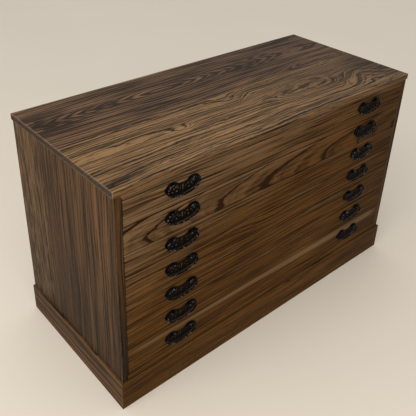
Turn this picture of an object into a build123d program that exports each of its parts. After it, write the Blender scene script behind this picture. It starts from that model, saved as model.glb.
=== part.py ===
from build123d import *
import math
import os

# Kimono chest: a low, wide case of full-width drawers that stands on a plinth.
# The drawer fronts lie edge to edge with hairline gaps, and each one is pulled by
# two iron bails that hang from posts in front of pierced crescent plates.
# Lengths are in millimetres. +Z is up, the drawers open towards -Y, and the origin
# is on the floor under the middle of the chest's outer box.

# Case
case_width = 1000.0
case_depth = 434.0
side_thickness = 17.0
top_thickness = 16.0
top_side_overhang = 3.0
top_front_overhang = 2.0
top_back_overhang = 2.0
top_edge_chamfer = 1.1
top_rail_height = 7.0
top_rail_depth = 20.0
bottom_thickness = 12.0
back_thickness = 8.0
back_rebate_depth = 8.0
case_foot_chamfer = 1.6
stile_edge_chamfer = 0.7

# Plinth
plinth_height = 82.0
plinth_thickness = 20.0
plinth_projection = 5.0
plinth_back_projection = 2.5
plinth_edge_chamfer = 1.4

# Drawers: each one takes up the same height of the case, from the top down.
# The left gaps are those of hand-fitted fronts, and repeat past the last one.
drawer_count = 7
drawer_height = 71.0
front_thickness = 18.0
front_gap = 0.9
front_edge_chamfer = 0.7
left_gaps = (2.2, 0.9, 1.6, 1.4, 1.0, 1.0, 0.9)
right_gap = 1.0
tray_side_thickness = 10.0
tray_side_lap = 9.0
tray_top_clearance = 4.7
tray_back_thickness = 10.0
tray_back_drop = 6.0
tray_bottom_thickness = 6.0
tray_bottom_rebate = 5.0
tray_back_clearance = 6.0

# Runners on the case sides, under the sides of each drawer
runner_width = 12.0
runner_height = 8.0
runner_clearance = 0.3
drawer_stop_clearance = 0.3

# Pulls: pierced crescent plates, posts with an eye, and bails
pull_offset_share = 0.328
pull_rise = 6.5
plate_width = 96.0
plate_lobe_height = 17.0
plate_dip_height = 8.5
plate_bottom_depth = 19.5
plate_thickness = 1.8
post_offset = 24.5
post_rise = 12.0
post_radius = 5.2
post_height = 9.4
post_head_chamfer = 1.4
post_shank_width = 3.6
post_shank_height = 3.2
post_shank_clearance = 0.15
post_leg_length = 8.0
post_leg_thickness = 1.2
bail_axis_out = 6.4
bail_half_width = 44.0
bail_drop = 19.5
bail_bar_radius = 2.1
bail_eye_clearance = 0.3
bail_pin_overhang = 0.8

# One overrun for all cuts
cut_overrun = 5.0

# Heights and depths that follow from the sizes above
bottom_top_z = plinth_height + bottom_thickness
drawers_top_z = bottom_top_z + drawer_count * drawer_height
top_underside_z = drawers_top_z + top_rail_height
chest_height = top_underside_z + top_thickness
front_reach = max(plate_thickness + post_height, plinth_projection, top_front_overhang)
back_reach = max(plinth_back_projection, top_back_overhang)
case_front_y = front_reach - (case_depth + front_reach + back_reach) / 2
case_back_y = case_front_y + case_depth
back_panel_y = case_back_y - back_thickness
opening_half = case_width / 2 - side_thickness
pull_offset = case_width * pull_offset_share

# Drawer sizes along the height and the depth of the case
tray_side_height = drawer_height - runner_height - runner_clearance - tray_top_clearance
front_back_y = case_front_y + front_thickness
tray_end_y = back_panel_y - tray_back_clearance
tray_side_start_y = front_back_y - tray_side_lap


def block(x_span, y_span, z_span):
    """A rectangular board between two corners, each span being (low, high)."""
    sizes = [high - low for low, high in (x_span, y_span, z_span)]
    middles = [(high + low) / 2 for low, high in (x_span, y_span, z_span)]
    return Pos(*middles) * Box(*sizes)


def edges_at(solid, **places):
    """The straight edges whose middle lies at the given X, Y or Z places."""
    found = []
    for edge in solid.edges():
        middle = edge.position_at(0.5)
        if all(math.isclose(getattr(middle, axis), value, abs_tol=1e-4) for axis, value in places.items()):
            found.append(edge)
    return found


# Case pieces

def side_board(hand):
    """A side of the case, rebated at the back for the back panel; hand is -1 or +1."""
    outer = hand * case_width / 2
    inner = hand * opening_half
    span = (min(outer, inner), max(outer, inner))
    board = block(span, (case_front_y, case_back_y), (plinth_height, top_underside_z))
    rebate_end = inner + hand * back_rebate_depth
    overrun_start = inner - hand * cut_overrun
    rebate = block(
        (min(rebate_end, overrun_start), max(rebate_end, overrun_start)),
        (back_panel_y, case_back_y + cut_overrun),
        (plinth_height - cut_overrun, top_underside_z + cut_overrun),
    )
    board = board - rebate
    foot_edges = edges_at(board, X=outer, Z=plinth_height) + edges_at(board, Y=case_front_y, Z=plinth_height)
    board = chamfer(foot_edges, case_foot_chamfer)
    upright_edges = edges_at(board, X=outer, Y=case_front_y) + edges_at(board, X=inner, Y=case_front_y)
    return chamfer(upright_edges, stile_edge_chamfer)


def top_board():
    """The top, which overhangs the case a little and has eased edges."""
    half = case_width / 2 + top_side_overhang
    low_y = case_front_y - top_front_overhang
    high_y = case_back_y + top_back_overhang
    board = block((-half, half), (low_y, high_y), (top_underside_z, chest_height))
    eased = edges_at(board, Z=chest_height) + edges_at(board, Z=top_underside_z, Y=low_y)
    eased += edges_at(board, X=-half, Y=low_y) + edges_at(board, X=half, Y=low_y)
    return chamfer(eased, top_edge_chamfer)


def top_rail():
    """The narrow rail that closes the case above the highest drawer."""
    depth = (case_front_y, case_front_y + top_rail_depth)
    rail = block((-opening_half, opening_half), depth, (drawers_top_z, top_underside_z))
    return chamfer(edges_at(rail, Y=case_front_y, Z=drawers_top_z), stile_edge_chamfer)


def bottom_board():
    """The case's bottom, whose front edge shows under the lowest drawer."""
    board = block(
        (-opening_half, opening_half), (case_front_y, back_panel_y), (plinth_height, bottom_top_z)
    )
    board = chamfer(edges_at(board, Y=case_front_y, Z=plinth_height), case_foot_chamfer)
    return chamfer(edges_at(board, Y=case_front_y, Z=bottom_top_z), stile_edge_chamfer)


def back_panel():
    """The thin back, let into the rebates of the sides."""
    half = opening_half + back_rebate_depth
    return block((-half, half), (back_panel_y, case_back_y), (plinth_height, top_underside_z))


def drawer_runners():
    """A pair of runners for each drawer; their front ends stop the drawer front."""
    strips = []
    for index in range(drawer_count):
        low_z = drawer_low_z(index)
        for hand in (-1, 1):
            wall = hand * opening_half
            lip = wall - hand * runner_width
            strip = block(
                (min(wall, lip), max(wall, lip)),
                (front_back_y + drawer_stop_clearance, back_panel_y),
                (low_z, low_z + runner_height),
            )
            strips.append(strip)
    return strips


# Plinth: four boards mitred at the corners, under the edges of the case

def plinth_board(outer_line, inner_line, edge_places):
    """One board of the plinth from its outer and inner lines in plan."""
    outline = Polyline(*outer_line, *reversed(inner_line), close=True)
    board = extrude(make_face(outline), amount=plinth_height, dir=(0, 0, 1))
    return chamfer(edges_at(board, Z=plinth_height, **edge_places), plinth_edge_chamfer)


def plinth_boards():
    """The four boards by name: front, back, left and right."""
    half = case_width / 2 + plinth_projection
    low_y = case_front_y - plinth_projection
    high_y = case_back_y + plinth_back_projection
    outer = {"fl": (-half, low_y), "fr": (half, low_y), "br": (half, high_y), "bl": (-half, high_y)}
    inner_half = half - plinth_thickness
    inner_low = low_y + plinth_thickness
    inner_high = high_y - plinth_thickness
    inner = {
        "fl": (-inner_half, inner_low),
        "fr": (inner_half, inner_low),
        "br": (inner_half, inner_high),
        "bl": (-inner_half, inner_high),
    }
    corners = {
        "plinth_front": ("fl", "fr", {"Y": low_y}),
        "plinth_right": ("fr", "br", {"X": half}),
        "plinth_back": ("br", "bl", {"Y": high_y}),
        "plinth_left": ("bl", "fl", {"X": -half}),
    }
    boards = {}
    for name, (start, end, places) in corners.items():
        boards[name] = plinth_board((outer[start], outer[end]), (inner[start], inner[end]), places)
    return boards


# Drawers

def drawer_low_z(index):
    """The bottom of the height that a drawer takes up; drawer 0 is the highest."""
    return drawers_top_z - (index + 1) * drawer_height


def tray_floor_z(index):
    """The underside of a drawer's sides, just above its runners."""
    return drawer_low_z(index) + runner_height + runner_clearance


def drawer_ends(index):
    """The left and right ends of a drawer, inside the case's sides."""
    left_gap = left_gaps[index % len(left_gaps)]
    return -opening_half + left_gap, opening_half - right_gap


def pull_centres(index):
    """The centres of a drawer's two pulls, in X and Z."""
    height = drawer_low_z(index) + drawer_height / 2 + pull_rise
    return [(hand * pull_offset, height) for hand in (-1, 1)]


def post_places(index):
    """The axes of a drawer's four posts, in X and Z."""
    places = []
    for centre_x, centre_z in pull_centres(index):
        for side in (-1, 1):
            places.append((centre_x + side * post_offset, centre_z + post_rise))
    return places


def drawer_front(index):
    """The front board: lapped for the tray's sides and grooved for its bottom."""
    left, right = drawer_ends(index)
    low_z = drawer_low_z(index) + front_gap / 2
    high_z = drawer_low_z(index) + drawer_height - front_gap / 2
    board = block((left, right), (case_front_y, front_back_y), (low_z, high_z))
    shown = edges_at(board, Y=case_front_y)
    board = chamfer(shown, front_edge_chamfer)
    floor_z = tray_floor_z(index)
    lap_depth = (tray_side_start_y, front_back_y + cut_overrun)
    lap_height = (floor_z, floor_z + tray_side_height)
    for end, inward in ((left, 1), (right, -1)):
        inner = end + inward * tray_side_thickness
        beyond = end - inward * cut_overrun
        board = board - block((min(inner, beyond), max(inner, beyond)), lap_depth, lap_height)
    groove_left = left + tray_side_thickness - tray_bottom_rebate
    groove_right = right - tray_side_thickness + tray_bottom_rebate
    board = board - block(
        (groove_left, groove_right),
        (front_back_y - tray_bottom_rebate, front_back_y + cut_overrun),
        (floor_z, floor_z + tray_bottom_thickness),
    )
    for x, z in post_places(index):
        board = board - shank_hole(x, z)
    return board


def shank_hole(x, z):
    """The square hole for a post's shank, through the plate and the front board."""
    half_width = post_shank_width / 2 + post_shank_clearance
    half_height = post_shank_height / 2 + post_shank_clearance
    depth = (case_front_y - plate_thickness - cut_overrun, front_back_y + cut_overrun)
    return block((x - half_width, x + half_width), depth, (z - half_height, z + half_height))


def drawer_sides(index):
    """The two sides of the tray, rebated below for the bottom."""
    left, right = drawer_ends(index)
    floor_z = tray_floor_z(index)
    boards = []
    for end, inward in ((left, 1), (right, -1)):
        inner = end + inward * tray_side_thickness
        board = block(
            (min(end, inner), max(end, inner)),
            (tray_side_start_y, tray_end_y),
            (floor_z, floor_z + tray_side_height),
        )
        shoulder = inner - inward * tray_bottom_rebate
        beyond = inner + inward * cut_overrun
        rebate = block(
            (min(shoulder, beyond), max(shoulder, beyond)),
            (front_back_y - tray_bottom_rebate, tray_end_y + cut_overrun),
            (floor_z - cut_overrun, floor_z + tray_bottom_thickness),
        )
        boards.append(board - rebate)
    return boards


def drawer_back(index):
    """The back of the tray, between its sides and on its bottom."""
    left, right = drawer_ends(index)
    floor_z = tray_floor_z(index)
    return block(
        (left + tray_side_thickness, right - tray_side_thickness),
        (tray_end_y - tray_back_thickness, tray_end_y),
        (floor_z + tray_bottom_thickness, floor_z + tray_side_height - tray_back_drop),
    )


def drawer_bottom(index):
    """The bottom of the tray, let into the front and the sides."""
    left, right = drawer_ends(index)
    floor_z = tray_floor_z(index)
    inset = tray_side_thickness - tray_bottom_rebate
    return block(
        (left + inset, right - inset),
        (front_back_y - tray_bottom_rebate, tray_end_y),
        (floor_z, floor_z + tray_bottom_thickness),
    )


# Pulls: flat shapes are drawn with X to the right and Y up, then stood on the front
post_sides = 8
eye_sides = 6

# Outline of a plate's right half, as shares of half its width and of its heights:
# the dip's end, the lobe's top and shoulder, and the tip where the lower curve starts
dip_end_shares = (0.36, 0.78)
lobe_top_shares = (0.66, 1.0)
shoulder_shares = (0.91, 0.62)
tip_shares = (1.0, 0.10)
heel_shares = (0.92, 0.42)
dip_steps = 4
lobe_steps = 5
tip_steps = 4
lower_steps = 8

# Scroll piercings of the right half: centre across and up, as shares of half the
# plate's width and of its bottom depth, then length share and turn in degrees
scroll_shares = (
    (0.25, -0.06, 0.26, 122.0),
    (0.53, -0.30, 0.31, 24.0),
    (0.79, -0.02, 0.24, 72.0),
)
middle_scroll_share = 0.27

# A scroll's corners from its head round to its tail, as shares of its length
scroll_corners = (
    (0.02, 0.15),
    (-0.13, 0.05),
    (-0.11, -0.11),
    (0.08, -0.18),
    (0.50, -0.09),
    (0.85, 0.22),
    (0.40, 0.10),
)


def plate_outline():
    """The crescent outline of a plate: two lobes above a long lower curve."""
    half = plate_width / 2
    dip_end = (dip_end_shares[0] * half, dip_end_shares[1] * plate_lobe_height)
    lobe_top = (lobe_top_shares[0] * half, lobe_top_shares[1] * plate_lobe_height)
    shoulder = (shoulder_shares[0] * half, shoulder_shares[1] * plate_lobe_height)
    tip = (tip_shares[0] * half, tip_shares[1] * plate_lobe_height)
    heel = (heel_shares[0] * half, -heel_shares[1] * plate_bottom_depth)
    mirrored = [(-x, y) for x, y in (dip_end, lobe_top, shoulder, tip, heel)]
    curves = (
        (ThreePointArc(mirrored[0], (0, plate_dip_height), dip_end), dip_steps),
        (ThreePointArc(dip_end, lobe_top, shoulder), lobe_steps),
        (ThreePointArc(shoulder, tip, heel), tip_steps),
        (ThreePointArc(heel, (0, -plate_bottom_depth), mirrored[4]), lower_steps),
        (ThreePointArc(mirrored[4], mirrored[3], mirrored[2]), tip_steps),
        (ThreePointArc(mirrored[2], mirrored[1], mirrored[0]), lobe_steps),
    )
    corners = [curve.position_at(step / steps) for curve, steps in curves for step in range(steps)]
    return make_face(Polyline(*corners, close=True))


def scroll(length):
    """A comma-shaped piercing with a blunt head and a bent, pointed tail."""
    corners = [(across * length, up * length) for across, up in scroll_corners]
    return make_face(Polyline(*corners, close=True))


def plate_piercings():
    """The scrolls of both halves and the upright one in the middle."""
    half = plate_width / 2
    middle = scroll(middle_scroll_share * half)
    shapes = [Pos(0, -plate_bottom_depth / 2) * Rot(0, 0, 90) * middle]
    for across, up, length_share, turn in scroll_shares:
        shape = scroll(length_share * half)
        place = Pos(across * half, up * plate_bottom_depth)
        right_shape = place * Rot(0, 0, turn) * shape
        shapes.append(right_shape)
        shapes.append(mirror(right_shape, about=Plane.YZ))
    return shapes


def upright(flat_solid, x, z):
    """Stands a flat shape on the drawer front: its Y becomes Z, its top faces -Y."""
    return Pos(x, case_front_y, z) * Rot(90, 0, 0) * flat_solid


def plate_solid():
    """A pierced plate, flat, with its back on the XY plane."""
    face = plate_outline()
    for shape in plate_piercings():
        face = face - shape
    return extrude(face, amount=plate_thickness, dir=(0, 0, 1))


def post_solid():
    """A post, flat: an eight-sided head with the eye for the bail, and a clinched shank."""
    section = RegularPolygon(post_radius, post_sides, major_radius=False)
    head = extrude(Pos(0, 0, plate_thickness) * section, amount=post_height, dir=(0, 0, 1))
    rim = [edge for edge in head.edges() if edge.position_at(0.5).Z > plate_thickness + post_height / 2]
    rim = [edge for edge in rim if abs(edge.tangent_at(0.5).Z) < 0.5]
    head = chamfer(rim, post_head_chamfer)
    eye_section = RegularPolygon(bail_bar_radius + bail_eye_clearance, eye_sides, major_radius=False)
    eye = extrude(eye_section, amount=post_radius + cut_overrun, both=True)
    head = head - Pos(0, 0, bail_axis_out) * Rot(0, 90, 0) * eye
    half_width = post_shank_width / 2
    half_height = post_shank_height / 2
    tip = -front_thickness - post_leg_thickness
    shank = block((-half_width, half_width), (-half_height, half_height), (tip, plate_thickness))
    legs = block(
        (-post_leg_length, post_leg_length), (-half_height, half_height), (tip, -front_thickness)
    )
    return head + shank + legs


def pull_plates(index, plate, post):
    """The two plates of a drawer and their four posts, as separate solids."""
    solids = []
    for centre_x, centre_z in pull_centres(index):
        placed = upright(plate, centre_x, centre_z)
        for side in (-1, 1):
            placed = placed - shank_hole(centre_x + side * post_offset, centre_z + post_rise)
        solids.append(placed)
    for x, z in post_places(index):
        solids.append(upright(post, x, z))
    return solids


# The bail's bar runs from the pin in one post's eye, out over the shoulder and along
# a lower curve to the other post. The shoulder is a quarter ellipse that takes this
# share of the drop, and the lower curve is half a flat ellipse.
shoulder_drop_share = 0.42
shoulder_stations = 3
lower_stations = 8
bar_sides = 8


def bail_path():
    """Stations along the bail's middle line, each with its X and its Y up."""
    pin_end = post_offset - post_radius - bail_pin_overhang
    shoulder_start = post_offset + post_radius + bail_pin_overhang
    waist = post_rise - shoulder_drop_share * (post_rise + bail_drop)
    half = [(pin_end, post_rise)]
    reach = bail_half_width - shoulder_start
    for step in range(shoulder_stations + 1):
        turn = math.radians(90 * step / shoulder_stations)
        x = shoulder_start + reach * math.sin(turn)
        y = waist + (post_rise - waist) * math.cos(turn)
        half.append((x, y))
    lower = []
    for step in range(1, lower_stations // 2 + 1):
        turn = math.radians(180 * step / lower_stations)
        x = bail_half_width * math.cos(turn)
        y = waist - (waist + bail_drop) * math.sin(turn)
        lower.append((x, y))
    right = half + lower
    left = [(-x, y) for x, y in reversed(right[:-1])]
    return right + left


def bar_section(previous, here, following):
    """The bar's section at a station, square to the bar or on its mitre."""
    arrive = Vector(here[0] - previous[0], here[1] - previous[1])
    leave = Vector(following[0] - here[0], following[1] - here[1])
    arrive = arrive.normalized() if arrive.length else leave.normalized()
    leave = leave.normalized() if leave.length else arrive
    along = (arrive + leave).normalized()
    across = Vector(-along.Y, along.X)
    widen = 1 / along.dot(leave)
    centre = Vector(here[0], here[1], bail_axis_out)
    radius = bail_bar_radius / math.cos(math.pi / bar_sides)
    corners = []
    for side in range(bar_sides):
        turn = 2 * math.pi * (side + 0.5) / bar_sides
        offset = across * (radius * widen * math.cos(turn)) + Vector(0, 0, radius * math.sin(turn))
        corners.append(centre + offset)
    return make_face(Polyline(*corners, close=True))


def bail_solid():
    """A bail, flat, in the frame of its plate: a faceted bar lofted along its path."""
    path = bail_path()
    sections = []
    for place, here in enumerate(path):
        previous = path[place - 1] if place > 0 else here
        following = path[place + 1] if place + 1 < len(path) else here
        sections.append(bar_section(previous, here, following))
    return loft(sections, ruled=True)


def write_node(name, shapes):
    """Writes one sub-part, a single solid or a group of separate ones."""
    if isinstance(shapes, list):
        solids = [solid for shape in shapes for solid in shape.solids()]
        group = Compound(label=name, children=solids)
        export_step(group, f"parts/{name}.step")
        return
    shapes.label = name
    export_step(shapes, f"parts/{name}.step")


def main():
    os.makedirs("parts", exist_ok=True)
    write_node("top_board", top_board())
    write_node("side_left", side_board(-1))
    write_node("side_right", side_board(1))
    write_node("top_rail", top_rail())
    write_node("bottom_board", bottom_board())
    write_node("back_panel", back_panel())
    write_node("drawer_runners", drawer_runners())
    for name, board in plinth_boards().items():
        write_node(name, board)
    plate = plate_solid()
    post = post_solid()
    bail = bail_solid()
    for index in range(drawer_count):
        drawer = f"drawer_{index + 1}"
        write_node(f"{drawer}_front", drawer_front(index))
        write_node(f"{drawer}_sides", drawer_sides(index))
        write_node(f"{drawer}_back", drawer_back(index))
        write_node(f"{drawer}_bottom", drawer_bottom(index))
        write_node(f"{drawer}_pull_plates", pull_plates(index, plate, post))
        for hand, (x, z) in zip(("left", "right"), pull_centres(index)):
            write_node(f"{drawer}_{hand}_bail", upright(bail, x, z))


main()
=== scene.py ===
import math

import bpy
from bpy.props import FloatProperty, FloatVectorProperty, PointerProperty
from mathutils import Matrix, Vector


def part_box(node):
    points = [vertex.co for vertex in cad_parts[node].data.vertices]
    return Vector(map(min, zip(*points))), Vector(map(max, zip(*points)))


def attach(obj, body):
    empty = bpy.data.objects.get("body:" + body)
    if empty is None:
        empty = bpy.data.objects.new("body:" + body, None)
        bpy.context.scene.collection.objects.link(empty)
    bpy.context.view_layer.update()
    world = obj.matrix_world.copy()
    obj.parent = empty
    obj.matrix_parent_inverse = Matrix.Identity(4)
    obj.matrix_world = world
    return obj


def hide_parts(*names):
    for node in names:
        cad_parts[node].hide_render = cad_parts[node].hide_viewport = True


bl_info = {
    "name": "Kimono Chest",
    "version": (1, 0, 0),
    "blender": (4, 5, 0),
    "location": "View3D > Sidebar > Kimono Chest",
    "description": "Dresses a kimono chest: stained boards with figured grain, and wrought iron pulls",
    "category": "Add Mesh",
}

# The frame is the chest's construction. Everything below is placed by its boxes.
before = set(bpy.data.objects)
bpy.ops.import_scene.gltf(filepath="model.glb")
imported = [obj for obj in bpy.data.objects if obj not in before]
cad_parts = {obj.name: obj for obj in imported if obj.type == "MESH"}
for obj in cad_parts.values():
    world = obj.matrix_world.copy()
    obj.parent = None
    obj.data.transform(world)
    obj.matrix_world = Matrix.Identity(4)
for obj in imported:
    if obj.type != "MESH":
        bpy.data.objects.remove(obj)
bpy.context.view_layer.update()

MM = 0.001
DRAWERS = [f"drawer_{number}" for number in range(1, 8)]
HANDS = ("left", "right")
FRONT_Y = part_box("top_rail")[0].y


# Settings: the sizes and colours that a user would change

def length(name, description, value):
    return FloatProperty(
        name=name, description=description, default=value, min=0.0, max=2.0, unit="LENGTH", precision=5
    )


def share(name, description, value, high=1.0):
    return FloatProperty(name=name, description=description, default=value, min=0.0, max=high)


def colour(name, description, value):
    return FloatVectorProperty(
        name=name, description=description, default=value, subtype="COLOR", size=3, min=0.0, max=1.0
    )


def angle(name, description, degrees):
    return FloatProperty(name=name, description=description, default=math.radians(degrees), subtype="ANGLE")


def power(name, description, value):
    return FloatProperty(name=name, description=description, default=value, min=0.0, unit="POWER")


class ChestWood(bpy.types.PropertyGroup):
    """Colours and finish of the stained boards."""

    top_pale: colour("Top, early wood", "Pale wood of the top", (0.275, 0.155, 0.068))
    top_dark: colour("Top, late wood", "Dark grain lines of the top", (0.021, 0.012, 0.006))
    back_pale: colour("Back plank, early wood", "Pale wood of the top's back plank", (0.158, 0.085, 0.042))
    back_dark: colour("Back plank, late wood", "Dark grain lines of the back plank", (0.019, 0.011, 0.006))
    front_pale: colour("Front, early wood", "Pale wood of the drawers and the front", (0.104, 0.045, 0.0095))
    front_dark: colour("Front, late wood", "Dark grain lines of the front", (0.020, 0.0075, 0.0015))
    side_pale: colour("Sides, early wood", "Pale wood of the case's sides", (0.114, 0.0555, 0.0215))
    side_dark: colour("Sides, late wood", "Dark grain lines of the case's sides", (0.017, 0.009, 0.004))
    pore: colour("Pores", "Stain that has gathered in the pores", (0.009, 0.0045, 0.002))
    end: colour("End grain", "Ends of the boards, darkened by the stain", (0.038, 0.031, 0.026))
    worn: colour("Worn edge", "Wood that shows where an edge is rubbed", (0.260, 0.170, 0.095))
    inner_pale: colour("Inner wood", "Bare wood of the trays and the runners", (0.480, 0.340, 0.200))
    inner_dark: colour("Inner wood, lines", "Grain lines of the bare wood", (0.290, 0.180, 0.095))
    roughness: share("Sheen", "Roughness of the wiped lacquer", 0.48)
    edge_wear: length("Edge wear", "Width of the rubbed strip along an edge", 0.0016)


class ChestIron(bpy.types.PropertyGroup):
    """Colours and finish of the pulls."""

    black: colour("Black iron", "Lacquered iron", (0.0020, 0.0020, 0.0020))
    rubbed: colour("Rubbed iron", "Iron that shows where hands have rubbed it", (0.11, 0.11, 0.115))
    roughness: share("Sheen", "Roughness of the lacquered iron", 0.40)


class ChestPulls(bpy.types.PropertyGroup):
    """Sizes of a pull, measured from the middle of its plate."""

    plate_half: length("Plate half width", "From the middle to a lobe's end", 0.048)
    lobe_top: length("Lobe top", "Height of a lobe above the middle", 0.017)
    dip: length("Dip", "Height of the upper edge between the lobes", 0.0085)
    belly: length("Belly", "Depth of the lower edge below the middle", 0.0195)
    plate: length("Plate thickness", "Thickness of the sheet iron", 0.0018)
    post_offset: length("Post offset", "From the middle to a post, across", 0.0245)
    post_rise: length("Post rise", "From the middle to a post, up", 0.012)
    post_radius: length("Post radius", "Radius of a post at the bail", 0.0052)
    post_out: length("Post reach", "From the drawer's face to a post's head", 0.0111)
    axis_out: length("Bail axis", "From the drawer's face to the bail's axis", 0.0064)
    bail_half: length("Bail half width", "From the middle to the bar's line", 0.044)
    bail_drop: length("Bail drop", "From the middle down to the bar's line", 0.0195)
    bar_radius: length("Bar radius", "Radius of the bail's bar", 0.0021)


class ChestStage(bpy.types.PropertyGroup):
    """Floor, lamps and camera."""

    floor: colour("Floor", "Plain pale floor", (0.78, 0.705, 0.60))
    key: power("Key", "Power of the large soft lamp", 32.0)
    fill: power("Fill", "Power of the fill lamp", 13.0)
    sky: share("Sky", "Strength of the even light all round", 0.72, high=3.0)
    eye: FloatVectorProperty(
        name="Eye",
        description="Where the camera stands",
        default=(-1.0115, -1.0393, 1.2445),
        subtype="TRANSLATION",
    )
    azimuth: angle("Azimuth", "Turn of the camera round the chest", -41.22)
    elevation: angle("Elevation", "Tilt of the camera", 28.83)
    roll: angle("Roll", "Roll of the camera", 1.69)


SETTINGS = dict(chest_wood=ChestWood, chest_iron=ChestIron, chest_pulls=ChestPulls, chest_stage=ChestStage)


# Shader building

class Signal:
    """An output of a shader node. Arithmetic with it adds the nodes that work it out."""

    def __init__(self, socket):
        self.socket = socket

    def __add__(self, other):
        return maths("ADD", self, other)

    def __sub__(self, other):
        return maths("SUBTRACT", self, other)

    def __rsub__(self, other):
        return maths("SUBTRACT", other, self)

    def __mul__(self, other):
        return maths("MULTIPLY", self, other)

    def __truediv__(self, other):
        return maths("DIVIDE", self, other)

    def __abs__(self):
        return maths("ABSOLUTE", self)

    __radd__ = __add__


def feed(socket, source):
    """Links a socket to a signal, or gives it a value."""
    if isinstance(source, Signal):
        socket.id_data.links.new(source.socket, socket)
    else:
        socket.default_value = source


def add_node(kind, sources, **settings):
    """Adds a node to the tree of its signals. Its sources go by the number or name of its inputs."""
    tree = next(source.socket.id_data for source in sources.values() if isinstance(source, Signal))
    node = tree.nodes.new(kind)
    for name, value in settings.items():
        setattr(node, name, value)
    for key, source in sources.items():
        feed(node.inputs[key], source)
    return node


def made(kind, sources, output=0, **settings):
    """One output of a new node."""
    return Signal(add_node(kind, sources, **settings).outputs[output])


def maths(operation, *sources, clamp=False):
    return made("ShaderNodeMath", dict(enumerate(sources)), operation=operation, use_clamp=clamp)


def vector_maths(operation, *sources, output=0):
    return made("ShaderNodeVectorMath", dict(enumerate(sources)), output, operation=operation)


def stretched(vector, factors):
    """A vector times another one, number by number."""
    return vector_maths("MULTIPLY", vector, factors)


def scaled(vector, factor):
    """A vector or colour times a number."""
    return made("ShaderNodeVectorMath", {0: vector, "Scale": factor}, operation="SCALE")


def split(vector):
    """The three numbers of a vector."""
    return [Signal(output) for output in add_node("ShaderNodeSeparateXYZ", {0: vector}).outputs]


def joined(*numbers):
    """The vector of three numbers."""
    return made("ShaderNodeCombineXYZ", dict(enumerate(numbers)))


def smooth_step(value, low, high, out_low=0.0, out_high=1.0):
    sources = dict(enumerate((value, low, high, out_low, out_high)))
    return made("ShaderNodeMapRange", sources, interpolation_type="SMOOTHSTEP")


def mixed(factor, first, second):
    """A mix of two colours."""
    return made("ShaderNodeMix", {0: factor, 6: first, 7: second}, 2, data_type="RGBA")


def blend(factor, first, second):
    """A mix of two numbers."""
    return made("ShaderNodeMix", {0: factor, 2: first, 3: second}, data_type="FLOAT")


def noise(vector, detail=2.0, roughness=0.5):
    sources = {"Vector": vector, "Scale": 1.0, "Detail": detail, "Roughness": roughness}
    return made("ShaderNodeTexNoise", sources)


def line_noise(value):
    """A soft noise along one number."""
    return made("ShaderNodeTexNoise", {"W": value, "Scale": 1.0, "Detail": 1.0}, noise_dimensions="1D")


def opaque(tint):
    return (*tint, 1.0)


def new_group(name, outputs, **inputs):
    """A shader node group with these outputs, and inputs of the kinds of their values.
    It gives its inputs as signals, and the sockets that its outputs are fed by."""
    tree = bpy.data.node_groups.new(name, "ShaderNodeTree")
    kinds = {3: "Vector", 4: "Color"}
    for label, value in inputs.items():
        kind = kinds[len(value)] if isinstance(value, tuple) else "Float"
        label = label.replace("_", " ")
        socket = tree.interface.new_socket(name=label, in_out="INPUT", socket_type=f"NodeSocket{kind}")
        socket.default_value = value
    for label in outputs:
        kind = "Color" if label == "Color" else "Float"
        tree.interface.new_socket(name=label, in_out="OUTPUT", socket_type=f"NodeSocket{kind}")
    given = {socket.name: Signal(socket) for socket in tree.nodes.new("NodeGroupInput").outputs}
    return given, tree.nodes.new("NodeGroupOutput").inputs


def use_group(name, **sources):
    """Places a node group, with _ for a space in its inputs' names, and gives its outputs."""
    sources = {label.replace("_", " "): source for label, source in sources.items()}
    node = add_node("ShaderNodeGroup", sources, node_tree=bpy.data.node_groups[name])
    return {output.name: Signal(output) for output in node.outputs}


def new_material(name):
    """A material, the inputs of its shader, and the place on its object."""
    material = bpy.data.materials.new(name)
    material.use_nodes = True
    nodes = material.node_tree.nodes
    place = Signal(nodes.new("ShaderNodeTexCoord").outputs["Object"])
    return material, nodes["Principled BSDF"].inputs, place


def add_bump(shader, height, strength, distance):
    """Gives a shader a relief."""
    sources = {"Strength": strength, "Distance": distance, "Height": height}
    feed(shader["Normal"], made("ShaderNodeBump", sources))


ORIGIN = (0.0, 0.0, 0.0)


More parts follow.
